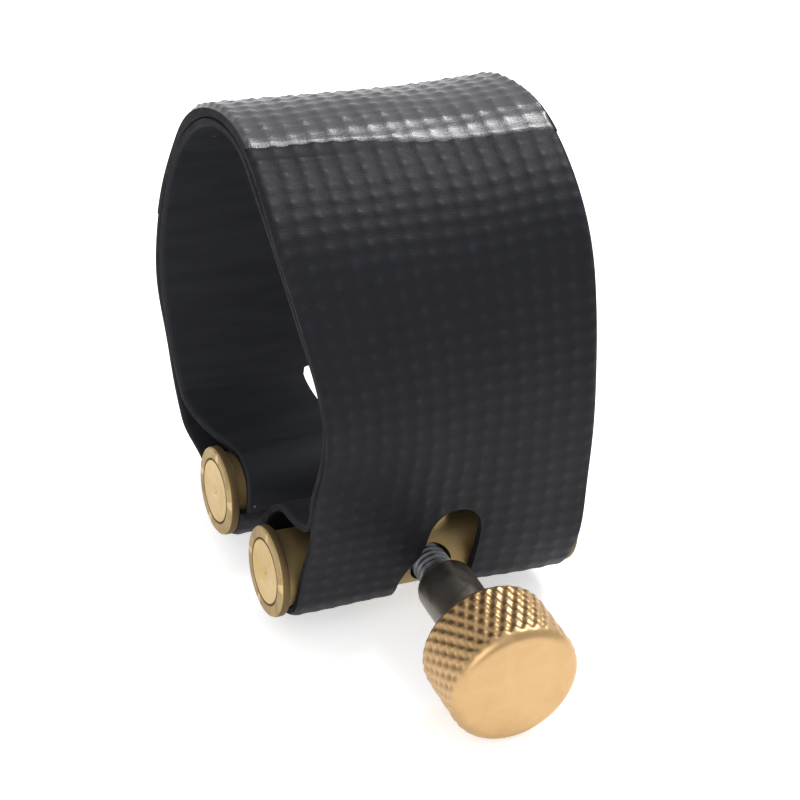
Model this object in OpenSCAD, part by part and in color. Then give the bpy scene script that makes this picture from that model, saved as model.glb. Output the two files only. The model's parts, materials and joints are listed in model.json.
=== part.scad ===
// Saxophone ligature: a soft strap folded round two brass rods, drawn together by one thumbscrew.
// Millimetres. The origin is the centre of the mouthpiece bore. +X runs along the bore and the rods,
// the screw lies along Y with its knob towards -Y, and +Z points from the rods to the strap's crown.

/* [Strap] */
// Width of the strap along the mouthpiece
strap_w = 23.2; // [20:0.2:26]
// Radius of the mouthpiece bore at the crown
bore_r = 13; // [12.6:0.1:13.2]
// Thickness of one ply; cover and lining are alike
ply_t = 0.62; // [0.5:0.02:0.7]
// Thickness of the overlay bonded over the crown
overlay_t = 0.45; // [0.3:0.05:0.6]
// Where the overlay ends on the far side, in degrees up from the bore's level
overlay_from = 5; // [0:1:20]
// Where the overlay ends on the near side of the crown, in the same degrees
overlay_to = 101; // [90:1:110]
// Radius of the near wall's outer face
near_flank_r = 37.5; // [34:0.5:42]
// Radius of the far wall's outer face
far_flank_r = 110; // [90:5:140]

/* [Rods] */
// Distance between the two rods' axes with the strap relaxed
rod_spacing = 10.8; // [10:0.1:12]
// Distance of the rods' axes below the bore's axis
rod_drop = 17.1; // [17:0.1:17.5]
// How far the middle of the rods lies in front of the bore's axis
rod_lead = 6.4; // [6:0.1:6.8]
// Diameter of a rod between its end collars
rod_d = 5.8; // [5.4:0.1:6]
// Diameter of the turned-down end that a collar is pressed on
spigot_d = 5.1; // [4.6:0.1:5.2]
// Outer diameter of an end collar
collar_d = 7; // [6.8:0.1:7.2]
// Thickness of an end collar
collar_t = 0.75; // [0.6:0.05:1]

/* [Loops] */
// Height above the near rod's axis at which cover and lining part
near_fork_h = 6.2; // [5.4:0.2:7]
// Height above the far rod's axis at which cover and lining part
far_fork_h = 4.8; // [4.6:0.1:5]
// Width of the near loop's slot, which lets the screw through
near_slot_w = 5; // [4.8:0.1:5.6]
// Height of the near slot's round top above the screw's axis
near_slot_h = 6; // [5:0.1:6.2]
// Width of the far loop's slot
far_slot_w = 5.6; // [5:0.2:7]
// Height of the far slot's round top above the screw's axis
far_slot_h = 5.3; // [5:0.1:6.8]

/* [Screw] */
// Major diameter of the thread
thread_d = 2.9; // [2.6:0.1:3]
// Diameter of the spacer sleeve under the knob
sleeve_d = 4.5; // [4.2:0.1:4.7]
// Free gap between the near rod's surface and the sleeve
sleeve_gap = 2.15; // [2.1:0.05:2.6]
// Length of the spacer sleeve
sleeve_l = 7.15; // [6:0.05:8]
// Diameter of the knob over its knurl
knob_d = 10.1; // [9:0.1:11]
// Thickness of the knob
knob_t = 5.8; // [4:0.1:6]
// Chamfer round both faces of the knob
knob_chamfer = 0.6; // [0.2:0.05:0.7]

/* [Hidden] */
$fn = 96;

// Running clearance between parts that turn or slide on each other
clear = 0.05;
// Wider clearance of the screw in the near rod's hole
screw_clear = 0.25;
// Glue line between two plies
glue_t = 0.02;
crown_r = bore_r + 2 * ply_t + glue_t;
loop_in_r = rod_d / 2 + clear;
loop_r = loop_in_r + ply_t;
// A step or lap too small to see
hair = 0.01;
// Larger than any of the object's dimensions
reach = 60;

// Points of the cross-section are [y, z]. The near side is -1 and the far side is 1.
near = -1;
far = 1;
bore_c = [0, 0];
// The strap's flexing line lies between the plies at the crown, as far from one rod as from the other
hinge_r = bore_r + ply_t;
hinge_c = [-rod_lead, sqrt(pow(hinge_r, 2) - pow(rod_lead, 2))];

function rod_c(side) = [-rod_lead + side * rod_spacing / 2, -rod_drop];
function flank_r(side) = side == near ? near_flank_r : far_flank_r;
function fork_h(side) = side == near ? near_fork_h : far_fork_h;

// Centre of a wall's arc, which is tangent to the crown and to the loop round its rod
function wall_c(side) =
    let (rod = rod_c(side), to_crown = flank_r(side) - crown_r, to_loop = flank_r(side) - loop_r)
    let (along = (pow(to_crown, 2) - pow(to_loop, 2) + rod * rod) / (2 * norm(rod)))
    let (away = sqrt(pow(to_crown, 2) - pow(along, 2)), u = rod / norm(rod))
    along * u + away * side * [u.y, -u.x];

// Radius of the lining's outer face along a wall
function lining_r(side) = flank_r(side) - ply_t - glue_t;

// Point of the lining's outer face where it leaves the cover, at its height above the rods' axes
function fork(side) =
    let (c = wall_c(side), z = fork_h(side) - rod_drop)
    [c.x + side * sqrt(pow(lining_r(side), 2) - pow(z - c.y, 2)), z];

// Line across both plies at a point of an arc: its inner end, then its outer end
function seam(c, r, toward) =
    [c + (r - 3 * ply_t) * toward / norm(toward), c + (r + ply_t) * toward / norm(toward)];

hinge_seam = seam(bore_c, crown_r, hinge_c);
function crown_seam(side) = seam(bore_c, crown_r, -wall_c(side));
function fork_seam(side) = seam(wall_c(side), flank_r(side), fork(side) - wall_c(side));
function loop_seam(side) = seam(rod_c(side), loop_r, rod_c(side) - wall_c(side));
// Both plies end beside the rod, the cover at its axis and the lining a glue line above
function end_seam(side, gap) = seam(rod_c(side), loop_r, [-side * loop_r, gap]);

// Direction from a rod to where the line from the fork touches the rod's clearance circle
function touch_dir(side) =
    let (v = fork(side) - rod_c(side))
    let (a = atan2(v.y, v.x) + side * acos(loop_in_r / norm(v)))
    [cos(a), sin(a)];
function touch_seam(side) = seam(rod_c(side), loop_r, touch_dir(side));

// A seam moved a hair along its wall: way is -1 towards the crown and 1 towards the rods
function beside(line, way) =
    let (v = line[1] - line[0])
    [for (p = line) p + way * hair * [v.y, -v.x] / norm(v)];

// ---- cross-section ----

// Strip along an arc about c, t thick inwards from r, between two seams under 180 degrees apart
module band(c, r, t, from, to) {
    u = from[1] - c;
    v = to[1] - c;
    m = u / norm(u) + v / norm(v);
    intersection() {
        translate(c) difference() {
            circle(r = r, $fn = 180);
            circle(r = r - t, $fn = 180);
        }
        polygon([from[0], from[1], c + 3 * r * m / (m * m), to[1], to[0]]);
    }
}

// A ply along a wall, a hair thinner on both faces than the crown and the loop, and lapping a hair
// into them, so that their faces never quite meet
module wall(side, r, from, to) {
    band(wall_c(side), r - hair, ply_t - 2 * hair, beside(from, -side), beside(to, side));
}

// Both ends of a line from a to b, drawn out by half its length each way
function longer(a, b) = [a - (b - a) / 2, b + (b - a) / 2];

// The lining's straight run from its wall to the top of the rod. It is a hair thinner than the two
// strips it joins and laps a hair into each.
module bridge(side) {
    c = wall_c(side);
    rod = rod_c(side);
    out = (fork(side) - c) / norm(fork(side) - c);
    up = touch_dir(side);
    wall_upper = fork(side) - (ply_t - 2 * hair) * out;
    wall_lower = fork(side) - 2 * hair * out;
    rod_upper = rod + (loop_r - hair) * up;
    rod_lower = rod + (loop_in_r + hair) * up;
    run = rod_upper - wall_upper;
    lap = hair * run / norm(run);
    strip = concat(longer(wall_upper, rod_upper), longer(rod_lower, wall_lower));
    intersection() {
        // Anticlockwise on both sides
        polygon([for (i = [0:3]) strip[side == near ? 3 - i : i]]);
        polygon([
            fork_seam(side)[1] - lap, fork_seam(side)[0] - lap,
            touch_seam(side)[1] + lap, touch_seam(side)[0] + lap
        ]);
    }
}

module cover_section(side) {
    band(bore_c, crown_r, ply_t, hinge_seam, crown_seam(side));
    wall(side, flank_r(side), crown_seam(side), loop_seam(side));
    band(rod_c(side), loop_r, ply_t, loop_seam(side), end_seam(side, 0));
}

module lining_section(side) {
    band(bore_c, hinge_r, ply_t, hinge_seam, crown_seam(side));
    wall(side, lining_r(side), crown_seam(side), fork_seam(side));
    bridge(side);
    band(rod_c(side), loop_r, ply_t, touch_seam(side), end_seam(side, glue_t));
}

// ---- solids ----

// Stands a [y, z] section up and gives it a length along X, centred on the strap
module along_x(l) {
    rotate([90, 0, 90]) translate([0, 0, -l / 2]) linear_extrude(l) children();
}

// Rounded edge in which a ply of the far half ends at the flexing line. The ply lies from one
// distance to another outside that line.
module nose(from, to) {
    u = hinge_c / norm(hinge_c);
    ahead = 2 * ply_t * [-u.y, u.x];
    intersection() {
        translate(hinge_c) circle(r = max(-from, to));
        polygon([hinge_c + from * u, hinge_c + to * u, hinge_c + to * u + ahead, hinge_c + from * u + ahead]);
    }
}

// Hollow that the near half leaves for the far half's rounded edge
module edge_hollow() {
    translate([0, hinge_c.x, hinge_c.y]) rotate([0, 90, 0])
        cylinder(r = ply_t + glue_t + clear, h = strap_w + 1, center = true);
}

// Opening in one loop for the screw, w wide and h above the screw: straight sides and a round top
module screw_slot(w, h, y_from) {
    translate([-w / 2, y_from, -rod_drop - reach]) cube([w, reach, reach + h - w / 2]);
    translate([0, y_from, -rod_drop + h - w / 2]) rotate([-90, 0, 0]) cylinder(d = w, h = reach);
}

module near_slot() {
    screw_slot(near_slot_w, near_slot_h, -rod_lead - reach);
}

module far_slot() {
    screw_slot(far_slot_w, far_slot_h, -rod_lead);
}

module strap_cover_far() {
    color([0.13, 0.13, 0.15]) difference() {
        along_x(strap_w) {
            cover_section(far);
            nose(glue_t, glue_t + ply_t);
        }
        far_slot();
    }
}

module strap_cover_near() {
    color([0.13, 0.13, 0.15]) difference() {
        along_x(strap_w) cover_section(near);
        edge_hollow();
        near_slot();
    }
}

module strap_lining_far() {
    color([0.09, 0.09, 0.10]) difference() {
        along_x(strap_w) {
            lining_section(far);
            nose(-ply_t, 0);
        }
        far_slot();
    }
}

module strap_lining_near() {
    color([0.09, 0.09, 0.10]) difference() {
        along_x(strap_w) lining_section(near);
        edge_hollow();
        near_slot();
    }
}

module strap_overlay() {
    mid = (overlay_from + overlay_to) / 2;
    overlay_in_r = crown_r + glue_t;
    color([0.17, 0.17, 0.19]) along_x(strap_w) intersection() {
        difference() {
            circle(r = overlay_in_r + overlay_t, $fn = 180);
            circle(r = overlay_in_r, $fn = 180);
        }
        polygon([
            bore_c,
            2 * crown_r * [cos(overlay_from), sin(overlay_from)],
            2 * crown_r * [cos(mid), sin(mid)],
            2 * crown_r * [cos(overlay_to), sin(overlay_to)]
        ]);
    }
}

spigot_x = strap_w / 2 + clear;
rod_l = 2 * (spigot_x + collar_t);
punch_r = 0.35;
punch_depth = 0.3;

// A rod on its own axis, with a spigot and a punch mark at each end and a cross hole for the screw
module rod(hole_r) {
    color([0.82, 0.70, 0.46]) difference() {
        rotate([0, 90, 0]) union() {
            cylinder(d = rod_d, h = 2 * spigot_x, center = true);
            cylinder(d = spigot_d, h = rod_l, center = true);
        }
        for (end = [-1, 1])
            translate([end * rod_l / 2, 0, 0]) rotate([0, -90 * end, 0])
                cylinder(r1 = punch_r, r2 = 0, h = punch_depth);
        rotate([90, 0, 0]) cylinder(r = hole_r, h = 2 * rod_d, center = true);
    }
}

collar_chamfer = 0.15;

// A collar at one end of a rod: end is -1 for the left and 1 for the right
module collar(end) {
    r_in = spigot_d / 2;
    r_out = collar_d / 2;
    color([0.85, 0.72, 0.47])
        translate([end * spigot_x, 0, 0]) rotate([0, 90 * end, 0])
            rotate_extrude() polygon([
                [r_in, 0], [r_out, 0], [r_out, collar_t - collar_chamfer],
                [r_out - collar_chamfer, collar_t], [r_in, collar_t]
            ]);
}

module at_rod(side) {
    translate([0, rod_c(side).x, rod_c(side).y]) children();
}

module far_rod() {
    at_rod(far) rod(thread_d / 2 + clear);
}

module near_rod() {
    at_rod(near) rod(thread_d / 2 + screw_clear);
}

module far_rod_left_collar() {
    at_rod(far) collar(-1);
}

module far_rod_right_collar() {
    at_rod(far) collar(1);
}

module near_rod_left_collar() {
    at_rod(near) collar(-1);
}

module near_rod_right_collar() {
    at_rod(near) collar(1);
}

sleeve_y = rod_c(near).x - rod_d / 2 - sleeve_gap;
knob_back_y = sleeve_y - sleeve_l - clear;
tip_beyond_rod = 0.3;
tip_y = rod_c(far).x + rod_d / 2 + tip_beyond_rod;
socket_depth = 3.2;
tip_chamfer = 0.4;

// Places a shape drawn upwards along Z so that it points along -Y from y on the screw's axis
module on_screw(y) {
    translate([0, y, -rod_drop]) rotate([90, 0, 0]) children();
}

module spacer_sleeve() {
    color([0.20, 0.17, 0.14]) on_screw(sleeve_y) difference() {
        cylinder(d = sleeve_d, h = sleeve_l);
        translate([0, 0, -clear]) cylinder(d = thread_d + 4 * clear, h = sleeve_l + 2 * clear);
    }
}

module screw_stud() {
    l = tip_y - knob_back_y + socket_depth;
    color([0.35, 0.36, 0.38]) on_screw(tip_y) rotate_extrude() polygon([
        [0, 0], [thread_d / 2 - tip_chamfer, 0], [thread_d / 2, tip_chamfer], [thread_d / 2, l], [0, l]
    ]);
}

module screw_knob() {
    r = knob_d / 2;
    c = knob_chamfer;
    color([0.85, 0.70, 0.44]) on_screw(knob_back_y) difference() {
        rotate_extrude() polygon([
            [0, 0], [r - c, 0], [r, c], [r, knob_t - c], [r - c, knob_t], [0, knob_t]
        ]);
        translate([0, 0, -clear]) cylinder(d = thread_d, h = socket_depth + clear);
    }
}

strap_cover_far();
strap_cover_near();
strap_lining_far();
strap_lining_near();
strap_overlay();
far_rod();
far_rod_left_collar();
far_rod_right_collar();
near_rod();
near_rod_left_collar();
near_rod_right_collar();
spacer_sleeve();
screw_stud();
screw_knob();
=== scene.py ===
import json
import math

import bpy
import numpy as np
from mathutils import Matrix, Vector


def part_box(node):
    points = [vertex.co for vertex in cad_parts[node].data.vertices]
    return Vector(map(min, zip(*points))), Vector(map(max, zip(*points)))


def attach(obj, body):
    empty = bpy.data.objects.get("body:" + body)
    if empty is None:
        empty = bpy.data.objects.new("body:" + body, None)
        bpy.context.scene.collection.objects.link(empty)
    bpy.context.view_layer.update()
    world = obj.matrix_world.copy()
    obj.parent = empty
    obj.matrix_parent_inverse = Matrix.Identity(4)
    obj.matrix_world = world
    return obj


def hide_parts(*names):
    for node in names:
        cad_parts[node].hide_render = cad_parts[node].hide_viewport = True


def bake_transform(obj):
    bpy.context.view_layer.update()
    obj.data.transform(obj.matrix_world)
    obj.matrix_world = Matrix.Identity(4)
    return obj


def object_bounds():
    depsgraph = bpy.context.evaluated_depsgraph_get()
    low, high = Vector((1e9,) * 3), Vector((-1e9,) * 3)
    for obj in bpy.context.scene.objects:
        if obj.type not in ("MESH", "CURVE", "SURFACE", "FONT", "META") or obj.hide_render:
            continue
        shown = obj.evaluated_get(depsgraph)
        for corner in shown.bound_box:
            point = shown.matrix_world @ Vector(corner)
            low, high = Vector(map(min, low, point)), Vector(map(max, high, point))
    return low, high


MM = 0.001
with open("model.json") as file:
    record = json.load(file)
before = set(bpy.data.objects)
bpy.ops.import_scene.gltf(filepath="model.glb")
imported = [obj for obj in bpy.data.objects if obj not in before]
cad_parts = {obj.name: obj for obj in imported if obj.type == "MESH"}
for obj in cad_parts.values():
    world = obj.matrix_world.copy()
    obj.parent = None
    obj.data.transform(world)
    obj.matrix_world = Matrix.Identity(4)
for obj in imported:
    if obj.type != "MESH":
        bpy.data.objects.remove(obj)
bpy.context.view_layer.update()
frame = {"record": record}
record = frame["record"]
joints = {j["name"]: j for j in record["behaviour"]["joints"]}


# ---- sizes, in millimetres, read from the CAD model ----

def box_mm(node):
    lo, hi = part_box(node)
    return np.array(lo) / MM, np.array(hi) / MM


def centre_yz(node):
    lo, hi = box_mm(node)
    return (lo[1:] + hi[1:]) / 2


def radius_of(node):
    """Radius of a turned piece, from its height."""
    lo, hi = box_mm(node)
    return (hi - lo)[2] / 2


BORE_R = record["mounts"][0]["dims"]["r_mm"]
STRAP_W = record["mounts"][0]["dims"]["length_mm"]
EDGE = STRAP_W / 2
HINGE = np.array(joints["strap_flex"]["pos_m"][1:]) / MM
PLY = float(np.hypot(*HINGE)) - BORE_R
CROWN_R = BORE_R + 2 * PLY
NEAR_C = centre_yz("near_rod_left_collar")
FAR_C = centre_yz("far_rod_left_collar")
ROD_R = radius_of("near_rod")
ROD_END = box_mm("near_rod")[1][0]
COLLAR_R = radius_of("near_rod_left_collar")
COLLAR_IN = box_mm("near_rod_right_collar")[0][0]
# A loop of the strap runs clear of its rod by this much
LOOP_CLEAR = 0.05
LOOP_IN = ROD_R + LOOP_CLEAR
LOOP_R = LOOP_IN + PLY
# Radius of each wall's arc, and the height above the rods at which cover and lining part there
NEAR_FLANK_R, FAR_FLANK_R = 37.5, 110.0
NEAR_FORK_H, FAR_FORK_H = 8.2, 4.0
# The slot in each loop: half width, height of its top above the screw, middle, height of its rounded part,
# how square that part is (2 is an ellipse) and how far its left edge spreads below it
NEAR_SLOT, FAR_SLOT = (2.25, 6.0, 0.75, 2.25, 2, 1.7), (2.2, 4.55, 0.4, 0.5, 4, 0.0)
# A ply's grid: distance of its rows and of its columns, and how far from a slot the rows bend towards it
ROW_STEP, COLUMN_STEP, SLOT_REACH = 0.22, 0.17, 5.0
# Rounding of a ply's cut edges, the width of that rounding, and how far its rims wander
EDGE_ROUND, EDGE_ROUND_W, RIM_WAVE = 0.09, 0.2, 0.08


# ---- small helpers ----

def smooth(x, lo, hi):
    t = np.clip((np.asarray(x, float) - lo) / (hi - lo), 0, 1)
    return t * t * (3 - 2 * t)


def angle(v):
    return math.atan2(v[1], v[0])


def unit(a):
    return np.array([math.cos(a), math.sin(a)])


def waves(x, s, scale, seed, n=7):
    """Smooth unevenness between about -1 and 1 over a surface, the same on every run."""
    r = np.random.default_rng(seed)
    out = np.zeros(np.broadcast(x, s).shape)
    for _ in range(n):
        a = r.uniform(0, 2 * math.pi)
        k = r.uniform(0.5, 1.6) / scale
        out += np.sin(2 * math.pi * k * (x * math.cos(a) + s * math.sin(a)) + r.uniform(0, 2 * math.pi))
    return out / n * 1.6


def make_object(name, verts, faces, materials, uv=None, mat_index=None, smooth_angle=50):
    mesh = bpy.data.meshes.new(name)
    mesh.from_pydata([tuple(v) for v in np.asarray(verts) * MM], [], [tuple(f) for f in faces])
    for m in materials:
        mesh.materials.append(m)
    if mat_index is not None:
        mesh.polygons.foreach_set("material_index", np.asarray(mat_index, np.int32))
    if uv is not None:
        layer = mesh.uv_layers.new(name="strap")
        loops = np.zeros(len(mesh.loops), np.int32)
        mesh.loops.foreach_get("vertex_index", loops)
        layer.data.foreach_set("uv", np.asarray(uv, np.float32)[loops].ravel())
    mesh.polygons.foreach_set("use_smooth", np.ones(len(mesh.polygons), bool))
    mesh.set_sharp_from_angle(angle=math.radians(smooth_angle))
    mesh.update()
    obj = bpy.data.objects.new(name, mesh)
    bpy.context.scene.collection.objects.link(obj)
    return obj


def revolve(profile, segments, axis, centre):
    """Vertices and faces of a profile [(radius, along)] turned about the x or y axis through a centre."""
    verts, faces, rings = [], [], []
    for r, a in profile:
        if r < 1e-6:
            rings.append([len(verts)])
            verts.append((0, 0, a))
        else:
            rings.append(list(range(len(verts), len(verts) + segments)))
            for k in range(segments):
                t = 2 * math.pi * k / segments
                verts.append((r * math.cos(t), r * math.sin(t), a))
    for p, q in zip(rings, rings[1:]):
        for k in range(segments):
            n = (k + 1) % segments
            if len(p) == 1:
                faces.append((p[0], q[n], q[k]))
            elif len(q) == 1:
                faces.append((p[k], p[n], q[0]))
            else:
                faces.append((p[k], p[n], q[n], q[k]))
    v = np.array(verts)
    if axis == "x":
        v = np.stack([v[:, 2], v[:, 0], v[:, 1]], 1)
    else:
        v = np.stack([v[:, 1], v[:, 2], v[:, 0]], 1)
    return v + np.asarray(centre), faces


# ---- materials ----

def new_material(name):
    m = bpy.data.materials.new(name)
    m.use_nodes = True
    tree = m.node_tree
    tree.nodes.clear()
    out = tree.nodes.new("ShaderNodeOutputMaterial")
    bsdf = tree.nodes.new("ShaderNodeBsdfPrincipled")
    tree.links.new(bsdf.outputs[0], out.inputs["Surface"])
    return m, tree, bsdf


class Net:
    """Short names for building a node tree."""

    def __init__(self, tree):
        self.tree = tree

    def link(self, a, b):
        self.tree.links.new(a, b)

    def put(self, value, socket):
        if hasattr(value, "links"):
            self.link(value, socket)
        else:
            socket.default_value = value

    def node(self, kind, **props):
        n = self.tree.nodes.new(kind)
        for k, v in props.items():
            setattr(n, k, v)
        return n

    def math(self, op, a, b=0.0, c=None):
        n = self.node("ShaderNodeMath", operation=op)
        self.put(a, n.inputs[0])
        self.put(b, n.inputs[1])
        if c is not None:
            self.put(c, n.inputs[2])
        return n.outputs[0]

    def remap(self, value, lo, hi, to_lo, to_hi):
        n = self.node("ShaderNodeMapRange")
        n.interpolation_type = "SMOOTHSTEP"
        for k, v in zip(range(5), (value, lo, hi, to_lo, to_hi)):
            self.put(v, n.inputs[k])
        return n.outputs[0]

    def noise(self, vector, scale, detail=4.0, rough=0.55, distortion=0.0):
        n = self.node("ShaderNodeTexNoise")
        self.link(vector, n.inputs["Vector"])
        n.inputs["Scale"].default_value = scale
        n.inputs["Detail"].default_value = detail
        n.inputs["Roughness"].default_value = rough
        n.inputs["Distortion"].default_value = distortion
        return n.outputs["Fac"]

    def vary(self, value, noise, amount):
        """The value, made higher and lower by a noise round 0.5."""
        return self.math("ADD", value, self.math("MULTIPLY", self.math("SUBTRACT", noise, 0.5), amount))

    def mix(self, fac, a, b):
        n = self.node("ShaderNodeMix", data_type="RGBA")
        self.put(fac, n.inputs[0])
        self.put(a, n.inputs[6])
        self.put(b, n.inputs[7])
        return n.outputs[2]

    def scaled(self, vector, x, y, z):
        n = self.node("ShaderNodeMapping")
        self.link(vector, n.inputs["Vector"])
        n.inputs["Scale"].default_value = (x, y, z)
        return n.outputs[0]

    def bump(self, height, distance, strength=1.0, normal=None):
        n = self.node("ShaderNodeBump")
        self.link(height, n.inputs["Height"])
        n.inputs["Distance"].default_value = distance
        n.inputs["Strength"].default_value = strength
        if normal is not None:
            self.link(normal, n.inputs["Normal"])
        return n.outputs[0]


def rgb(r, g, b):
    return (r, g, b, 1.0)


# Spacing of the cords across the strap and along it
WARP, WEFT = 1.48, 1.27


def weave_height(x, s):
    """Plain weave under its coating: 0 in the gaps to 1 on the crowns. Narrow warp cords run round the strap,
    lower weft cords run across it, and a knuckle stands at each crossing, every other one a little lower."""
    i, j = np.floor(x / WARP), np.floor(s / WEFT)
    fx, fs = x / WARP - i - 0.5, s / WEFT - j - 0.5
    warp, weft = np.exp(-(fx / 0.24) ** 2), np.exp(-(fs / 0.27) ** 2)
    knuckle = 0.78 + 0.22 * np.cos(math.pi * (i + j))
    return np.clip(0.30 * warp + 0.20 * weft + 0.50 * warp * weft * knuckle, 0, 1)


def weave_material(name, dark, light, rough, spec, sheen):
    """Rubber-coated woven cloth. Its map is (x, length round the strap) in millimetres."""
    m, tree, bsdf = new_material(name)
    net = Net(tree)
    uv = net.node("ShaderNodeUVMap", uv_map="strap").outputs[0]
    relief = net.node("ShaderNodeAttribute", attribute_name="relief").outputs["Fac"]
    blotch = net.noise(uv, 0.16, 3.0, 0.6)
    grime = net.noise(uv, 1.9, 5.0, 0.65)
    yarn_a = net.noise(net.scaled(uv, 9.0, 1.3, 1.0), 1.0, 5.0, 0.6)
    yarn_b = net.noise(net.scaled(uv, 1.3, 9.0, 1.0), 1.0, 5.0, 0.6)
    raised = net.remap(relief, 0.30, 0.9, 0.0, 1.0)
    # Raised knuckles take the light colour: rubbed wear on the cover, painted glints on the crown, whose
    # light colour is far paler
    wear_and_glint = net.math("MULTIPLY", raised, net.remap(grime, 0.35, 0.75, 0.15, 1.0))
    tone = net.math("ADD", net.math("MULTIPLY", wear_and_glint, 0.75), net.math("MULTIPLY", blotch, 0.35))
    net.link(net.mix(tone, dark, light), bsdf.inputs["Base Color"])
    smoother = net.math("SUBTRACT", rough, net.math("MULTIPLY", wear_and_glint, 0.16))
    net.link(net.vary(smoother, grime, 0.22), bsdf.inputs["Roughness"])
    bsdf.inputs["Specular IOR Level"].default_value = spec
    bsdf.inputs["Sheen Weight"].default_value = sheen
    bsdf.inputs["Sheen Roughness"].default_value = 0.45
    bsdf.inputs["Sheen Tint"].default_value = rgb(0.75, 0.8, 0.95)
    fibres = net.math("ADD", yarn_a, yarn_b)
    net.link(net.bump(fibres, 0.00003, 0.55, net.bump(grime, 0.00004, 0.4)), bsdf.inputs["Normal"])
    return m


def rubber_material(name, dark, light, rough, spec):
    """Smooth calendered lining with a fine grain, faint flow marks and a few dust specks."""
    m, tree, bsdf = new_material(name)
    net = Net(tree)
    uv = net.node("ShaderNodeUVMap", uv_map="strap").outputs[0]
    flow = net.noise(net.scaled(uv, 0.12, 0.9, 1.0), 1.0, 4.0, 0.6, 0.4)
    grain = net.noise(uv, 7.0, 4.0, 0.7)
    dust = net.node("ShaderNodeTexVoronoi", feature="F1")
    net.link(uv, dust.inputs["Vector"])
    dust.inputs["Scale"].default_value = 0.55
    speck = net.remap(dust.outputs["Distance"], 0.03, 0.075, 1.0, 0.0)
    keep = net.node("ShaderNodeSeparateXYZ")
    net.link(dust.outputs["Color"], keep.inputs[0])
    speck = net.math("MULTIPLY", speck, net.remap(keep.outputs[0], 0.72, 0.8, 0.0, 1.0))
    base = net.mix(net.remap(flow, 0.3, 0.75, 0.0, 1.0), dark, light)
    dusty = net.mix(net.math("MULTIPLY", speck, 0.55), base, rgb(0.16, 0.17, 0.19))
    net.link(dusty, bsdf.inputs["Base Color"])
    net.link(net.vary(rough, flow, 0.25), bsdf.inputs["Roughness"])
    bsdf.inputs["Specular IOR Level"].default_value = spec
    net.link(net.bump(grain, 0.00002, 0.5, net.bump(flow, 0.00006, 0.3)), bsdf.inputs["Normal"])
    return m


def cut_material(name):
    """Raw cut edge of the strap: matte, slightly fibrous, with the plies' layers."""
    m, tree, bsdf = new_material(name)
    net = Net(tree)
    where = net.node("ShaderNodeTexCoord").outputs["Object"]
    fibre = net.noise(where, 6500.0, 4.0, 0.7)
    streak = net.noise(where, 900.0, 3.0, 0.6)
    frayed = net.remap(net.math("MULTIPLY", fibre, streak), 0.12, 0.42, 0.0, 1.0)
    net.link(net.mix(frayed, rgb(0.005, 0.005, 0.006), rgb(0.018, 0.018, 0.021)), bsdf.inputs["Base Color"])
    bsdf.inputs["Roughness"].default_value = 0.82
    bsdf.inputs["Specular IOR Level"].default_value = 0.10
    net.link(net.bump(fibre, 0.00005, 0.8), bsdf.inputs["Normal"])
    return m


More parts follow.
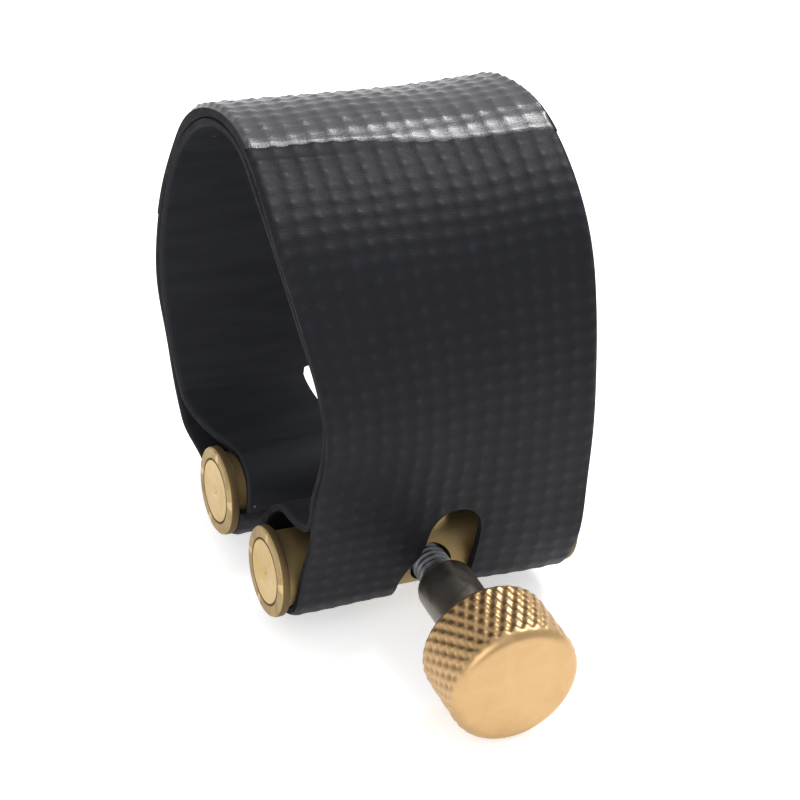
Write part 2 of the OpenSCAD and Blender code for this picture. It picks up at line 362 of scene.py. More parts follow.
def brass_material(name, base, pale, tarnish_and_shade_colour, rough, axis, centre, seam=None, brushed=0.5, valley=None,
                   shaded_side=None, shaded_body=None):
    """Turned brass: concentric tool marks about its own axis, cloudy satin, tarnished recesses.
    Tarnish also lies in a seam at a radius and where the attribute named valley is high. Its colour is also
    painted shade on the side beyond the radius shaded_side and on the body nearer to the middle than
    shaded_body."""
    m, tree, bsdf = new_material(name)
    net = Net(tree)
    where = net.node("ShaderNodeTexCoord").outputs["Object"]
    sub = net.node("ShaderNodeVectorMath", operation="SUBTRACT")
    net.link(where, sub.inputs[0])
    sub.inputs[1].default_value = tuple(c * MM for c in centre)
    sep = net.node("ShaderNodeSeparateXYZ")
    net.link(sub.outputs[0], sep.inputs[0])
    a, b = (sep.outputs[1], sep.outputs[2]) if axis == "x" else (sep.outputs[0], sep.outputs[2])
    along = sep.outputs[0] if axis == "x" else sep.outputs[1]
    radius = net.math("SQRT", net.math("ADD", net.math("MULTIPLY", a, a), net.math("MULTIPLY", b, b)))
    comb = net.node("ShaderNodeCombineXYZ")
    net.link(net.math("MULTIPLY", radius, 9000.0), comb.inputs[0])
    net.link(net.math("MULTIPLY", along, 9000.0), comb.inputs[1])
    turned = net.noise(comb.outputs[0], 1.0, 3.0, 0.6)
    cloud = net.noise(where, 420.0, 5.0, 0.6, 0.6)
    pits = net.noise(where, 5200.0, 3.0, 0.6)
    col = net.mix(net.remap(cloud, 0.3, 0.7, 0.0, 1.0), base, pale)
    edge = net.node("ShaderNodeNewGeometry").outputs["Pointiness"]
    hollow = net.remap(edge, 0.44, 0.497, 0.75, 0.0)
    dirt_and_shade = net.math("MULTIPLY", hollow, net.remap(cloud, 0.25, 0.6, 1.0, 0.55))
    if seam is not None:
        from_seam = net.math("ABSOLUTE", net.math("SUBTRACT", radius, seam * MM))
        ring = net.remap(from_seam, 0.00003, 0.00014, 0.85, 0.0)
        dirt_and_shade = net.math("MAXIMUM", dirt_and_shade, ring)
    # Painted shade: the side beyond this radius takes the dark tarnish colour, standing in for a side that
    # lies in shade and mirrors the dark strap
    if shaded_side is not None:
        side = net.remap(radius, (shaded_side - 0.07) * MM, (shaded_side - 0.01) * MM, 0.0, 0.9)
        dirt_and_shade = net.math("MAXIMUM", dirt_and_shade, side)
    # Painted shade: the body nearer to the middle takes the dark tarnish colour, standing in for the shade
    # inside the strap's loops
    if shaded_body is not None:
        body = net.remap(net.math("ABSOLUTE", along), (shaded_body - 0.3) * MM, shaded_body * MM, 0.6, 0.0)
        dirt_and_shade = net.math("MAXIMUM", dirt_and_shade, body)
    if valley is not None:
        deep = net.node("ShaderNodeAttribute", attribute_name=valley).outputs["Fac"]
        dirt_and_shade = net.math("MAXIMUM", dirt_and_shade, net.remap(deep, 0.35, 1.0, 0.0, 0.4))
    net.link(net.mix(dirt_and_shade, col, tarnish_and_shade_colour), bsdf.inputs["Base Color"])
    bsdf.inputs["Metallic"].default_value = 1.0
    dulled = net.math("ADD", net.vary(rough, cloud, 0.22), net.math("MULTIPLY", dirt_and_shade, 0.25))
    net.link(dulled, bsdf.inputs["Roughness"])
    net.link(net.bump(turned, 0.000012, brushed, net.bump(pits, 0.000008, 0.5)), bsdf.inputs["Normal"])
    return m


def steel_material(name, base, light, rough):
    """Dark oiled steel with turning marks along the screw's axis."""
    m, tree, bsdf = new_material(name)
    net = Net(tree)
    where = net.node("ShaderNodeTexCoord").outputs["Object"]
    sep = net.node("ShaderNodeSeparateXYZ")
    net.link(where, sep.inputs[0])
    comb = net.node("ShaderNodeCombineXYZ")
    net.link(net.math("MULTIPLY", sep.outputs[1], 7000.0), comb.inputs[0])
    turned = net.noise(comb.outputs[0], 1.0, 3.0, 0.6)
    cloud = net.noise(where, 520.0, 5.0, 0.6, 0.5)
    net.link(net.mix(net.remap(cloud, 0.3, 0.7, 0.0, 1.0), base, light), bsdf.inputs["Base Color"])
    bsdf.inputs["Metallic"].default_value = 1.0
    net.link(net.vary(rough, cloud, 0.2), bsdf.inputs["Roughness"])
    net.link(net.bump(turned, 0.000015, 0.6), bsdf.inputs["Normal"])
    return m


cover_mat = weave_material(
    "woven_cover", rgb(0.0038, 0.0041, 0.0064), rgb(0.0125, 0.0133, 0.0185), 0.52, 0.17, 0.0)
# The crown ply uses the cover's weave painted much paler: painted light for its top-lit crown, with painted
# glints on its knuckles
lit_crown_mat = weave_material(
    "woven_crown_lit", rgb(0.0060, 0.0060, 0.0095), rgb(0.080, 0.079, 0.096), 0.30, 0.80, 0.03)
back_mat = rubber_material("cover_back", rgb(0.006, 0.006, 0.008), rgb(0.011, 0.011, 0.013), 0.62, 0.20)
lining_mat = rubber_material("lining", rgb(0.0100, 0.0108, 0.0140), rgb(0.0150, 0.0160, 0.0200), 0.62, 0.24)
cut_mat = cut_material("cut_edge")


# ---- the strap ----

def flank_centre(rod, r, side):
    """Centre of a wall's arc, tangent to the crown and to the loop round its rod."""
    to_crown, to_loop, gap = r - CROWN_R, r - LOOP_R, np.hypot(*rod)
    along = (to_crown ** 2 - to_loop ** 2 + gap ** 2) / (2 * gap)
    away = math.sqrt(to_crown ** 2 - along ** 2)
    u = rod / gap
    return along * u + away * side * np.array([u[1], -u[0]])


NEAR_FLANK_C = flank_centre(NEAR_C, NEAR_FLANK_R, -1)
FAR_FLANK_C = flank_centre(FAR_C, FAR_FLANK_R, 1)


def arc(c, r, a0, a1):
    """Points about 0.1 mm apart on an arc about c, from one direction to another."""
    n = max(3, int(abs(a1 - a0) * r / 0.1))
    return [c + r * unit(a) for a in np.linspace(a0, a1, n)]


def whole(a):
    """A direction as an angle from 0 to a whole turn."""
    return a + 2 * math.pi if a < 0 else a


A_FAR_LOOP = angle(FAR_C - FAR_FLANK_C)
A_FAR_CROWN = angle(-FAR_FLANK_C)
A_NEAR_CROWN = whole(angle(-NEAR_FLANK_C))
A_NEAR_LOOP = whole(angle(NEAR_C - NEAR_FLANK_C))


def outer_path():
    """The cover's outer face, from the far loop's inner side over the crown to the near loop's inner side."""
    pts = arc(FAR_C, LOOP_R, -math.pi, A_FAR_LOOP)
    pts += arc(FAR_FLANK_C, FAR_FLANK_R, A_FAR_LOOP, A_FAR_CROWN)[1:]
    pts += arc(np.zeros(2), CROWN_R, A_FAR_CROWN, A_NEAR_CROWN)[1:]
    pts += arc(NEAR_FLANK_C, NEAR_FLANK_R, A_NEAR_CROWN, A_NEAR_LOOP)[1:]
    pts += arc(NEAR_C, LOOP_R, A_NEAR_LOOP, 2 * math.pi)[1:]
    return np.array(pts)


def bezier(p0, p1, p2, p3, n=40):
    t = np.linspace(0, 1, n)[:, None]
    return (1 - t) ** 3 * p0 + 3 * (1 - t) ** 2 * t * p1 + 3 * (1 - t) * t ** 2 * p2 + t ** 3 * p3


def lining_path():
    """The lining's rod side: over each rod, across to the walls, and along the walls and the crown."""
    # the lining lies this much clear of the cover and of the far rod's loop
    depth = PLY + 0.015
    r = LOOP_IN + 0.01

    def fork(c, flank_r, h, side):
        z = h + NEAR_C[1]
        return np.array([c[0] + side * math.sqrt((flank_r - depth) ** 2 - (z - c[1]) ** 2), z])

    def along(a):
        return np.array([-math.sin(a), math.cos(a)])

    near_fork = fork(NEAR_FLANK_C, NEAR_FLANK_R, NEAR_FORK_H, -1)
    far_fork = fork(FAR_FLANK_C, FAR_FLANK_R, FAR_FORK_H, 1)
    a_far_fork = angle(far_fork - FAR_FLANK_C)
    a_near_fork = whole(angle(near_fork - NEAR_FLANK_C))
    # the far side lies on its rod and runs almost straight to the wall
    far_leave = math.radians(86)
    p = arc(FAR_C, r, math.pi, far_leave)
    leave = p[-1] - 2.4 * along(far_leave)
    p += list(bezier(p[-1], leave, far_fork - 1.1 * along(a_far_fork), far_fork))[1:]
    p += arc(FAR_FLANK_C, FAR_FLANK_R - depth, a_far_fork, A_FAR_CROWN)[1:]
    p += arc(np.zeros(2), CROWN_R - depth, A_FAR_CROWN, A_NEAR_CROWN)[1:]
    p += arc(NEAR_FLANK_C, NEAR_FLANK_R - depth, A_NEAR_CROWN, a_near_fork)[1:]
    # the near side is loose: it hangs in a dip beside the wall and humps over its rod without touching it
    hump = NEAR_C + (r + 1.0) * unit(math.radians(78)) + np.array([0.0, 0.25])
    dip = near_fork + 2.7 * along(a_near_fork)
    p += list(bezier(near_fork, dip, hump + np.array([-2.9, 0.35]), hump))[1:]
    end = NEAR_C + np.array([r + 0.55, 0.0])
    p += list(bezier(hump, hump + np.array([1.9, -0.06]), end + np.array([0.1, 2.6]), end))[1:]
    return np.array(p)


def resample(path, s_new):
    d = np.hypot(*np.diff(path, axis=0).T)
    s = np.concatenate([[0], np.cumsum(d)])
    return np.stack([np.interp(s_new, s, path[:, k]) for k in (0, 1)], 1)


def length(path):
    return float(np.hypot(*np.diff(path, axis=0).T).sum())


def normals(path):
    """Outward normals of a path, evened out a little where its arcs meet."""
    t = np.gradient(path, axis=0)
    t /= np.hypot(*t.T)[:, None]
    n = np.stack([t[:, 1], -t[:, 0]], 1)
    for _ in range(2):
        n[1:-1] = (n[:-2] + 2 * n[1:-1] + n[2:]) / 4
        n /= np.hypot(*n.T)[:, None]
    return n


def hill(x, middle, width):
    return np.exp(-((x - middle) / width) ** 2)


def settle(p, lining):
    """The soft strap's uneven shape, which grows from its right rim to its left. The walls belly outwards,
    the near rim draws in, and the crown flares out and sags a little. The lining draws in further than the
    cover where it leaves the walls to pass over the rods."""
    x, y, z = p[..., 0], p[..., 1], p[..., 2]
    # share of the way to the left rim and to the right rim, and height above the rods' axes
    w = np.clip((EDGE - x) / STRAP_W, 0, 1.1)
    v = np.clip(1 - w, 0, 1)
    h = z - NEAR_C[1]
    near, far, high = smooth(-y, 2.0, 10.0), smooth(y, 2.0, 9.0), smooth(h, 13.0, 26.0)
    free, loose = smooth(h, 0.5, 5.0), smooth(h, -0.5, 3.0)
    low = 1 - smooth(h, 10.0, 25.0)
    beside = smooth(-y, 6.0, 10.0)
    flare = 0.5 * high + 0.5 * hill(h, 28.0, 4.0) * smooth(-y, -2.0, 6.0)
    if lining:
        wall = smooth(y, -2.0, 6.0)
        flare = flare + (0.95 * wall - 0.8 * (1 - wall) * smooth(y, -7.0, -3.0)) * low
        inset = 0.8 * beside * (1 - smooth(h, 4.5, 10.0))
    else:
        flare = flare + 0.95 * smooth(y, 0.5, 3.5) * smooth(h, -1.0, 2.0) * low
        inset = 0.6 * beside * (1 - smooth(h, 4.0, 10.0))
    near_belly = 1.5 * w ** 2 * hill(h, 14.0, 7.0) * near * free
    far_belly = 1.1 * w ** 2 * hill(h, 9.0, 8.0) * far * loose
    q = p.copy()
    q[..., 0] = x - w ** 1.5 * flare + w ** 2 * (1.1 * hill(h, 15.0, 7.0) * near * free + inset)
    q[..., 1] = y - near_belly + far_belly
    if not lining:
        # the cover's rims stand out past the collars' edges
        off_far_collar = 0.6 * w ** 3 * smooth(y, -0.5, 2.5) * (1 - smooth(h, 3.0, 8.0))
        off_near_collar = 0.55 * v ** 3 * smooth(-y, 12.3, 14.8) * hill(h, 1.5, 3.5)
        q[..., 0] += 0.2 * v ** 3 * beside * hill(h, 3.0, 5.0)
        q[..., 1] += off_far_collar - off_near_collar
    sag = 0.5 * (0.5 + 2 * w * (1 - w)) * (1 - w ** 3) * smooth(h, 22.0, 31.0)
    q[..., 2] = z - sag - 0.3 * w * high + 0.12 * waves(x, y + z, 14.0, 3) * high
    return q


def slots_along(path, path_s):
    """Both slots, each with its side (-1 far, 1 near), its measures, the place along a path where its
    straight sides begin, and the length of path that its rounded part takes up."""
    top = int(np.argmax(path[:, 1]))
    found = []
    for side, (half, rise, mid, round_h, square, spread) in ((-1, FAR_SLOT), (1, NEAR_SLOT)):
        walk = path[top:, 1] if side > 0 else path[top::-1, 1]
        heights = NEAR_C[1] + rise - round_h, NEAR_C[1] + rise
        begin, end = (path_s[top + side * int(np.argmax(walk < z))] for z in heights)
        found.append((side, half, mid, square, spread, begin, end - begin))
    return found


def ply_grid(path, path_s, slot, s_range):
    """A ply's grid: places across the strap, places along the path, and which cells are kept. Round a slot
    the columns move onto its edges, and inside its width the rows follow its rounded top."""
    s0, s1 = s_range or (0.0, path_s[-1])
    slots = slots_along(path, path_s) if slot else []
    marks = [s0, s1]
    if slot:
        far_begin, near_begin = slots[0][5], slots[1][5]
        marks = [s0, far_begin, far_begin + SLOT_REACH, near_begin - SLOT_REACH, near_begin, s1]
    rows = []
    for a, b in zip(marks, marks[1:]):
        n = max(2, int(round((b - a) / ROW_STEP)))
        rows += list(np.linspace(a, b, n + 1)[(1 if rows else 0):])
    rows = np.array(rows)
    cols = np.linspace(-EDGE, EDGE, int(STRAP_W / COLUMN_STEP) + 1)
    X, S = np.meshgrid(cols, rows)
    keep = np.ones((len(rows) - 1, len(cols) - 1), bool)
    for side, half, mid, square, spread, begin, rise in slots:
        # the columns nearest to the slot's edges move onto them while the strap is within reach of the slot
        near_by = smooth(side * (S - begin), -9.0, -6.0)
        left, right = (int(np.argmin(abs(cols - (mid + k * half)))) for k in (-1, 1))
        old = [-EDGE, cols[left], cols[right], EDGE]
        moved = np.interp(cols, old, [-EDGE, mid - half, mid + half, EDGE])
        left_edge = np.interp(cols, old, [0, 1, 0, 0])
        X = X + (moved - cols) * near_by - spread * smooth(side * (S - begin), 0.0, SLOT_REACH) * left_edge
        inside = np.zeros(X.shape, bool)
        inside[:, left:right + 1] = True
        bow = np.clip(1 - np.abs((moved - mid) / half) ** square, 0, 1) ** (1 / square)
        end = begin + rise * bow
        away = side * (begin - S)
        drawn = end + (begin - SLOT_REACH * side - end) * away / SLOT_REACH
        S = np.where(inside & (away >= -1e-9) & (away <= SLOT_REACH), drawn, S)
        k = int(np.argmin(abs(rows - begin)))
        open_rows = slice(k, None) if side > 0 else slice(None, k)
        keep[open_rows, left:right] = False
    return X, S, keep


def closed_faces(idx, keep):
    """Faces of a closed ply whose outer face has the vertices idx and whose inner face follows them, and each
    face's material: 0 outside, 1 inside, 2 on the cut edges."""
    n = idx.size
    q = np.stack([idx[:-1, :-1], idx[:-1, 1:], idx[1:, 1:], idx[1:, :-1]], -1)[keep]
    faces = [q, q[:, ::-1] + n]
    mat = [np.zeros(len(q)), np.ones(len(q))]
    pad = np.pad(keep, 1)
    # each side of a cell: the way to its neighbour, and its two corners
    sides = (
        ((-1, 0), (0, 0), (0, 1)), ((0, 1), (0, 1), (1, 1)),
        ((1, 0), (1, 1), (1, 0)), ((0, -1), (1, 0), (0, 0)))
    for (di, dj), a, b in sides:
        neighbour = pad[1 + di:pad.shape[0] - 1 + di, 1 + dj:pad.shape[1] - 1 + dj]
        ii, jj = np.nonzero(keep & ~neighbour)
        va, vb = idx[ii + a[0], jj + a[1]], idx[ii + b[0], jj + b[1]]
        faces.append(np.stack([vb, va, va + n, vb + n], 1))
        mat.append(np.full(len(va), 2))
    return np.concatenate(faces), np.concatenate(mat)


def sheet(name, path, thick, mats, relief, slot=True, s_range=None, edges=None, lining=False):
    """A ply along a path: thick inwards from it, with a relief on its outer face, rounded cut edges and,
    where the screw passes, two slots."""
    path_s = np.linspace(0, length(path), 4000)
    fine = resample(path, path_s)
    X, S, keep = ply_grid(fine, path_s, slot, s_range)
    if edges is not None:
        S = edges(X, S)
    pts = resample(path, S.ravel())
    out = normals(fine)
    out = np.stack([np.interp(S.ravel(), path_s, out[:, k]) for k in (0, 1)], 1)
    out /= np.hypot(*out.T)[:, None]
    rim = EDGE - np.abs(X)
    to_edge = np.minimum(rim, np.minimum(S - S.min(), S.max() - S) + 0.3)
    worn = EDGE_ROUND * (1 - smooth(to_edge, 0.0, EDGE_ROUND_W))
    up = relief(X, S) * smooth(rim, 0.0, 0.35) - worn
    wander = RIM_WAVE * waves(S, 9 * np.sign(X), 7.0, 11) * smooth(np.abs(X), EDGE - 2.5, EDGE)
    across = (X + np.sign(X) * wander).ravel()[:, None]
    outer = np.hstack([across, pts + out * up.ravel()[:, None]])
    inner = np.hstack([across, pts - out * (thick - worn.ravel()[:, None])])
    verts = np.concatenate([settle(outer, lining), settle(inner, lining)])
    faces, mat = closed_faces(np.arange(X.size).reshape(X.shape), keep)
    uv = np.stack([np.tile(X.ravel(), 2), np.tile(S.ravel(), 2)], 1)
    used = np.unique(faces)
    new = np.full(2 * X.size, -1)
    new[used] = np.arange(len(used))
    obj = make_object(name, verts[used], new[faces], mats, uv[used], mat, 48)
    tall = np.concatenate([relief_mask(X, S).ravel(), np.zeros(X.size)])[used]
    obj.data.attributes.new("relief", "FLOAT", "POINT").data.foreach_set("value", tall.astype(np.float32))
    return obj


def relief_mask(x, s):
    """The weave, drawn a little uneven."""
    return weave_height(x + 0.11 * waves(x, s, 6.0, 21), s + 0.13 * waves(x, s, 9.0, 22))


cover_path = outer_path()
far_wall = np.array(arc(FAR_FLANK_C, FAR_FLANK_R, A_FAR_LOOP, A_FAR_CROWN))
far_to_crown = length(np.array(arc(FAR_C, LOOP_R, -math.pi, A_FAR_LOOP))) + length(far_wall)


def s_at(a_deg):
    """Length along the outer path at a direction from the bore, on the crown."""
    return far_to_crown + CROWN_R * (math.radians(a_deg) - A_FAR_CROWN)


# The crease is the overlay's near edge, a little lower at the right. The overlay's far edge is STEP_FAR.
CREASE_LEFT, CREASE_RIGHT = s_at(101), s_at(109.5)
STEP_FAR = s_at(-3)


def crease_s(x):
    slant = (CREASE_RIGHT - CREASE_LEFT) * smooth(x, -12.5, 12.5)
    return CREASE_LEFT + slant + 0.06 * waves(x, x * 0, 9.0, 31)


def cover_relief(x, s):
    upper = smooth(s, STEP_FAR - 6, STEP_FAR) * (1 - smooth(s, CREASE_RIGHT + 8, CREASE_RIGHT + 26))
    ridge = 0.09 * np.exp(-((s - crease_s(x) - 1.35) / 0.22) ** 2) * (1 - smooth(x, -8.0, -2.5))
    return (0.080 + 0.045 * upper) * relief_mask(x, s) + 0.10 * waves(x, s, 13.0, 41) + ridge


def lining_relief(x, s):
    return 0.02 * waves(x, s, 8.0, 51)


def crown_relief(x, s):
    away = crease_s(x) - s
    near_lip = 0.45 * smooth(away, 0.0, 0.5) + 0.55 * smooth(away, 0.0, 3.5)
    lip = near_lip * smooth(s, STEP_FAR, STEP_FAR + 0.35)
    return (0.34 + 0.17 * relief_mask(x, s) + 0.10 * waves(x, s, 13.0, 41)) * lip - 0.02 * (1 - lip)


def crown_edges(x, s):
    """Draws the overlay's rows so that the last one follows the crease."""
    t = (s - STEP_FAR) / (CREASE_RIGHT - STEP_FAR)
    return STEP_FAR + t * (crease_s(x) - STEP_FAR)


ply = PLY - 0.01
cover = sheet("strap_cover", cover_path, ply, [cover_mat, back_mat, cut_mat], cover_relief)
lining = sheet(
    "strap_lining", lining_path(), ply, [back_mat, lining_mat, cut_mat], lining_relief, lining=True)
# The overlay's underside lies just over the cover's face
crown = sheet(
    "strap_crown_overlay", cover_path, -0.015, [lit_crown_mat, back_mat, cut_mat], crown_relief,
    slot=False, s_range=(STEP_FAR, CREASE_RIGHT), edges=crown_edges)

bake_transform(cover)
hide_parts("strap_cover_far", "strap_cover_near")
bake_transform(lining)
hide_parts("strap_lining_far", "strap_lining_near")
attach(crown, "far_strap")
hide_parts("strap_overlay")


# ---- rods and collars ----

BRASS = rgb(0.56, 0.39, 0.155)
BRASS_PALE = rgb(0.62, 0.465, 0.22)
# Tarnish for seams and recesses; the same colour is painted shade on the collars' sides and the rods' bodies
TARNISH_AND_SHADE = rgb(0.11, 0.075, 0.042)


def drilled(obj, radius, y, z):
    """Cuts the screw's cross hole through a rod."""
    v, f = revolve([(0, -6), (radius, -6), (radius, 6), (0, 6)], 64, "y", (0, y, z))
    drill = make_object("drill", v, f, [])
    cut = obj.modifiers.new("hole", "BOOLEAN")
    cut.operation, cut.object, cut.solver = "DIFFERENCE", drill, "EXACT"
    bpy.context.view_layer.update()
    mesh = bpy.data.meshes.new_from_object(obj.evaluated_get(bpy.context.evaluated_depsgraph_get()))
    obj.modifiers.clear()
    obj.data = mesh
    mesh.set_sharp_from_angle(angle=math.radians(35))
    bpy.data.objects.remove(drill)


# A rod ends in a spigot that takes its collar, with a centre mark and a chamfer on its face
SPIGOT_R, CHAMFER = 2.55, 0.07
MARK_R, MARK_DEPTH = 0.33, 0.26
# The near rod's hole clears the screw, the far rod's hole carries it
CLEARANCE_R, TAPPED_R = 1.70, 1.50
COLLAR_T = ROD_END - COLLAR_IN
COLLAR_BORE = SPIGOT_R + 0.02


def rod(side, centre, hole_r):
    """A rod with the screw's hole across its middle, and the collar on each of its ends."""
    middle = (0, centre[0], centre[1])
    spigot = SPIGOT_R - 0.03
    half = [
        (0, ROD_END - MARK_DEPTH), (MARK_R * 0.35, ROD_END - MARK_DEPTH * 0.8), (MARK_R, ROD_END - 0.03),
        (MARK_R + 0.06, ROD_END), (1.4, ROD_END), (spigot - CHAMFER, ROD_END), (spigot, ROD_END - CHAMFER),
        (spigot, COLLAR_IN + 0.02), (ROD_R - 0.1, COLLAR_IN), (ROD_R, COLLAR_IN - 0.1),
        (ROD_R, COLLAR_IN - 2.0), (ROD_R, 3.2), (ROD_R, 0.0)]
    v, f = revolve([(r, -a) for r, a in half] + [(r, a) for r, a in half[::-1][1:]], 96, "x", middle)
    # The rod's body between its collars is darkened to the tarnish colour as painted shade
    brass = brass_material(
        f"{side}_rod_brass", BRASS_PALE, BRASS, TARNISH_AND_SHADE, 0.40, "x", middle, seam=SPIGOT_R - 0.02,
        shaded_body=COLLAR_IN)
    obj = make_object(f"{side}_rod_turned", v, f, [brass], smooth_angle=35)
    drilled(obj, hole_r, centre[0], centre[1])
    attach(obj, f"{side}_bar")
    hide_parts(f"{side}_rod")
    for end, word in ((-1, "left"), (1, "right")):
        collar(side, word, end, middle)


def collar(side, word, end, middle):
    """The ring on one end of a rod, rounded more at its outer face than at its inner one."""
    profile = [
        (COLLAR_BORE, 0.0), (COLLAR_R - 0.10, 0.0), (COLLAR_R - 0.03, 0.03), (COLLAR_R, 0.10),
        (COLLAR_R, COLLAR_T - 0.2), (COLLAR_R - 0.05, COLLAR_T - 0.09), (COLLAR_R - 0.17, COLLAR_T),
        (SPIGOT_R + 0.10, COLLAR_T), (COLLAR_BORE, COLLAR_T - 0.08), (COLLAR_BORE, 0.0)]
    v, f = revolve([(r, end * (COLLAR_IN + a)) for r, a in profile[::-end]], 112, "x", middle)
    # The collar's side is darkened to the tarnish colour as painted shade
    brass = brass_material(
        f"{side}_{word}_collar_brass", BRASS, BRASS_PALE, TARNISH_AND_SHADE, 0.42, "x", middle, seam=SPIGOT_R + 0.03,
        shaded_side=COLLAR_R)
    ring = make_object(f"{side}_{word}_collar", v, f, [brass], smooth_angle=35)
    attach(ring, f"{side}_bar")
    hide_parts(f"{side}_rod_{word}_collar")


rod("near", NEAR_C, CLEARANCE_R)
rod("far", FAR_C, TAPPED_R)


# ---- the screw ----

SCREW_Z = NEAR_C[1]
STUD_R = radius_of("screw_stud")


def ends_y(node):
    """Both ends of a piece along the screw, the one nearer to the knob's face first."""
    lo, hi = box_mm(node)
    return lo[1], hi[1]


def sleeve():
    """The spacer sleeve, rounded at the end that enters the near slot."""
    r, bore = radius_of("spacer_sleeve"), STUD_R + 0.1
    y0, y1 = ends_y("spacer_sleeve")
    profile = [
        (bore, y0), (r - 0.06, y0), (r, y0 + 0.06), (r, y0 + 2.0), (r, y1 - 1.2), (r - 0.02, y1 - 0.5),
        (r - 0.12, y1 - 0.22), (r - 0.35, y1), (bore + 0.05, y1), (bore, y1 - 0.05), (bore, y0)]
    v, f = revolve(profile, 96, "y", (0, 0, SCREW_Z))
    m = steel_material("dark_sleeve", rgb(0.20, 0.178, 0.155), rgb(0.30, 0.270, 0.238), 0.38)
    obj = make_object("spacer_sleeve_turned", v, f, [m], smooth_angle=40)
    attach(obj, "spacer")
    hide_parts("spacer_sleeve")


def threaded_stud():
    """A stud with a real right-hand helical thread; crest and root follow one long spiral."""
    pitch, seg = 0.5, 40
    depth, tip = 0.28, 0.12
    y0, y1 = ends_y("screw_stud")
    # one turn of the thread's profile: share of the pitch, and height from root to crest
    shape = [(0.0, 1.0), (0.125, 1.0), (0.5, 0.0), (0.625, 0.0)]
    per, total = len(shape), int((y1 - y0) / pitch * seg)
    verts, faces = [], []
    for k in range(total + 1):
        t = 2 * math.pi * k / seg
        y = y1 - pitch * k / seg
        for share, h in shape:
            yy = min(y1, max(y0, y - share * pitch))
            # the thread runs out at both ends, and the far tip is chamfered
            full = min(1.0, (y1 - yy) / 0.55, max(0.0, (yy - y0) / 0.3))
            r = STUD_R - depth + depth * h * full - tip * (1 - min(1.0, (y1 - yy) / 0.25))
            verts.append((r * math.sin(t), yy, r * math.cos(t) + SCREW_Z))
    ring = [[k * per + i for i in range(per)] for k in range(total + 1)]
    for k in range(total):
        for i in range(per - 1):
            faces.append((ring[k][i], ring[k][i + 1], ring[k + 1][i + 1], ring[k + 1][i]))
        if k + seg <= total - 1:
            faces.append((ring[k][per - 1], ring[k + seg][0], ring[k + seg + 1][0], ring[k + 1][per - 1]))
    first = len(verts)
    verts.append((0, y1, SCREW_Z))
    for k in range(seg):
        faces.append((first, ring[k][0], ring[k + 1][0]))
    last = len(verts)
    verts.append((0, y0, SCREW_Z))
    for k in range(total - seg, total):
        faces.append((last, ring[k + 1][per - 1], ring[k][per - 1]))
    m = steel_material("stud_steel", rgb(0.095, 0.10, 0.108), rgb(0.18, 0.186, 0.198), 0.32)
    obj = make_object("screw_stud_threaded", np.array(verts), faces, [m], smooth_angle=28)
    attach(obj, "thumbscrew")
    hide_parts("screw_stud")


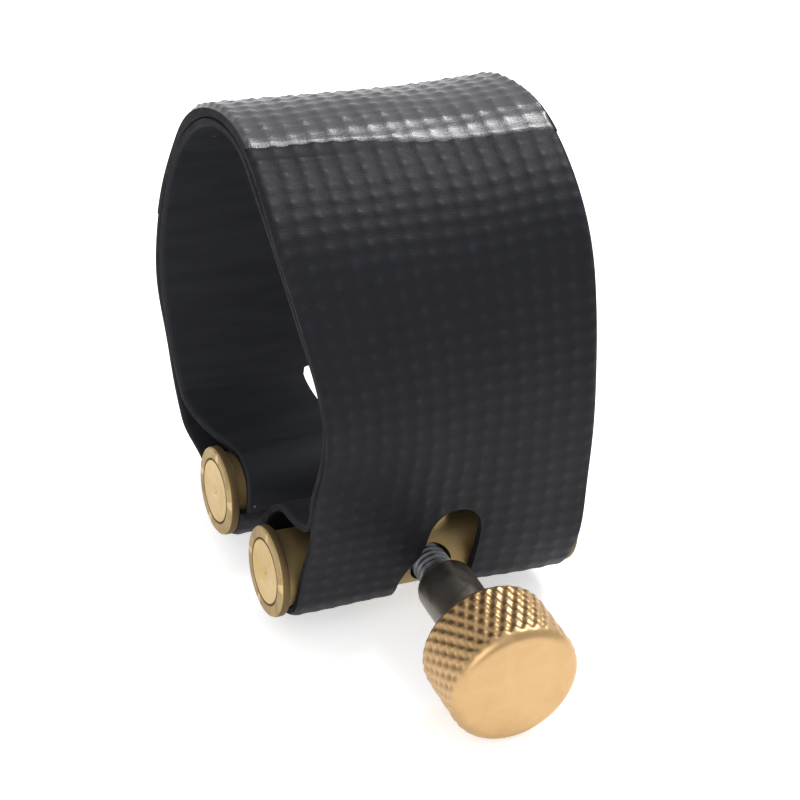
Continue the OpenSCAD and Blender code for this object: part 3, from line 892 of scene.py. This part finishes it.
def knob():
    """A turned knob: rows of beads between two rounded edges, with a smooth satin face."""
    r = radius_of("screw_knob")
    y_face, y_back = ends_y("screw_knob")
    face_round, back_round, bead_height = 0.95, 0.45, 0.17
    beads_round, bead_rows = 35, 7.2
    seg = beads_round * 14
    ys = np.concatenate([
        y_face + face_round * (1 - np.cos(np.linspace(0.12, math.pi / 2, 12))),
        np.linspace(y_face + face_round, y_back - back_round, 84)[1:],
        y_back - back_round * (1 - np.cos(np.linspace(math.pi / 2, 0.15, 8)))[1:]])
    t = np.linspace(0, 2 * math.pi, seg, endpoint=False)
    T, Y = np.meshgrid(t, ys)
    u = T / (2 * math.pi) * beads_round
    v = (Y - y_face) / (y_back - y_face) * bead_rows / 2
    peak = 0.5 + 0.5 * np.cos(2 * math.pi * u) * np.cos(2 * math.pi * v)
    peak = np.clip(1.15 * peak, 0, 1) ** 0.8
    from_face, from_back = Y - y_face, y_back - Y
    valley = (1 - peak) * smooth(from_face, 0.35, 1.1) * smooth(from_back, 0.05, 0.45)
    R = r - bead_height * (1 + 0.08 * np.sin(T * 5 + 1.3)) * valley
    for d, c in ((from_face, face_round), (from_back, back_round)):
        R -= c - np.sqrt(np.maximum(0, c * c - np.maximum(0, c - d) ** 2))
    verts = np.stack([R * np.sin(T), Y, R * np.cos(T) + SCREW_Z], -1).reshape(-1, 3).tolist()
    idx = np.arange(Y.size).reshape(Y.shape)
    nxt = np.roll(idx, -1, axis=1)
    faces = np.stack([idx[:-1], nxt[:-1], nxt[1:], idx[1:]], -1).reshape(-1, 4).tolist()

    def cap(row, y, rings, flip):
        """Closes an end inwards from a row of vertices, over rings of (radius, shift along the screw)."""
        last = list(row)
        for rad, dy in rings:
            if rad == 0:
                c = len(verts)
                verts.append([0, y + dy, SCREW_Z])
                for k in range(seg):
                    a, b = last[k], last[(k + 1) % seg]
                    faces.append([a, b, c] if flip else [b, a, c])
                return
            cur = list(range(len(verts), len(verts) + seg))
            for k in range(seg):
                verts.append([rad * math.sin(t[k]), y + dy, rad * math.cos(t[k]) + SCREW_Z])
            for k in range(seg):
                a, b, c, d = last[k], last[(k + 1) % seg], cur[(k + 1) % seg], cur[k]
                faces.append([a, b, c, d] if flip else [b, a, d, c])
            last = cur

    flat_r = r - face_round
    cap(idx[0], y_face, [(flat_r - 0.02, 0.0), (flat_r - 0.3, 0.004), (r * 0.5, 0.012), (0, 0.02)], False)
    rim_r, seat_r = r - back_round - 0.02, STUD_R + 0.6
    cap(idx[-1], y_back, [(rim_r, 0.0), (seat_r, 0.0), (seat_r - 0.05, -0.02), (0, -0.02)], True)
    brass = brass_material(
        "knob_brass", rgb(0.46, 0.295, 0.140), rgb(0.51, 0.335, 0.165), rgb(0.20, 0.11, 0.05), 0.38,
        "y", (0, 0, SCREW_Z), brushed=0.35, valley="valley")
    obj = make_object("screw_knob_knurled", np.array(verts), faces, [brass], smooth_angle=50)
    attr = obj.data.attributes.new("valley", "FLOAT", "POINT")
    depth = np.zeros(len(verts), np.float32)
    depth[:valley.size] = valley.ravel()
    attr.data.foreach_set("value", depth)
    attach(obj, "thumbscrew")
    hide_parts("screw_knob")


sleeve()
threaded_stud()
knob()


# ---- floor, light and camera ----

lo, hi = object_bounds()
floor_z = lo[2] - 0.0004
bpy.ops.mesh.primitive_plane_add(size=3.0, location=(0, 0, floor_z))
floor = bpy.context.object
floor.name = "floor"
fm, tree, bsdf = new_material("pale_floor")
net = Net(tree)
spot = net.noise(net.node("ShaderNodeTexCoord").outputs["Object"], 60.0, 3.0, 0.5)
net.link(net.mix(spot, rgb(0.90, 0.90, 0.90), rgb(0.93, 0.93, 0.93)), bsdf.inputs["Base Color"])
bsdf.inputs["Roughness"].default_value = 0.9
bsdf.inputs["Specular IOR Level"].default_value = 0.1
bsdf.inputs["Emission Color"].default_value = rgb(1, 1, 1)
bsdf.inputs["Emission Strength"].default_value = 0.45
floor.data.materials.append(fm)

world = bpy.data.worlds.new("studio")
bpy.context.scene.world = world
world.use_nodes = True
world.node_tree.nodes["Background"].inputs[0].default_value = (1.0, 1.0, 1.0, 1.0)
world.node_tree.nodes["Background"].inputs[1].default_value = 0.80


def area_light(name, at, toward, size, power):
    data = bpy.data.lights.new(name, "AREA")
    data.shape, data.size, data.energy = "DISK", size, power
    obj = bpy.data.objects.new(name, data)
    bpy.context.scene.collection.objects.link(obj)
    obj.location = at
    obj.rotation_mode = "QUATERNION"
    obj.rotation_quaternion = (Vector(toward) - Vector(at)).to_track_quat("-Z", "Y")


area_light("key", (0.16, 0.05, 0.26), (0, 0, 0.002), 0.14, 0.8)
area_light("fill", (-0.20, -0.22, 0.16), (0, 0, 0), 0.25, 0.35)

AZ, EL, ROLL = (math.radians(a) for a in (-27.07, 32.94, 6.07))
DISTANCE, FOCAL_MM = 0.18497, 106.07
# The picture's centre lies this far right of and above the middle between the rods, in metres
ASIDE, ABOVE = 0.00099, 0.00809
back = Vector((math.sin(AZ) * math.cos(EL), -math.cos(AZ) * math.cos(EL), math.sin(EL)))
right = Vector((math.cos(AZ), math.sin(AZ), 0))
up = back.cross(right)
cam_right = math.cos(ROLL) * right + math.sin(ROLL) * up
cam_up = -math.sin(ROLL) * right + math.cos(ROLL) * up
mid = Vector((0, (NEAR_C[0] + FAR_C[0]) / 2 * MM, NEAR_C[1] * MM))
cam = bpy.data.objects.new("camera", bpy.data.cameras.new("camera"))
bpy.context.scene.collection.objects.link(cam)
cam.data.lens, cam.data.sensor_width = FOCAL_MM, 36.0
cam.data.clip_start, cam.data.clip_end = 0.005, 20.0
place = Matrix((cam_right, cam_up, back)).transposed().to_4x4()
place.translation = mid + cam_right * ASIDE + cam_up * ABOVE + back * DISTANCE
cam.matrix_world = place
bpy.context.scene.camera = cam
bpy.context.scene.view_settings.view_transform = "Standard"
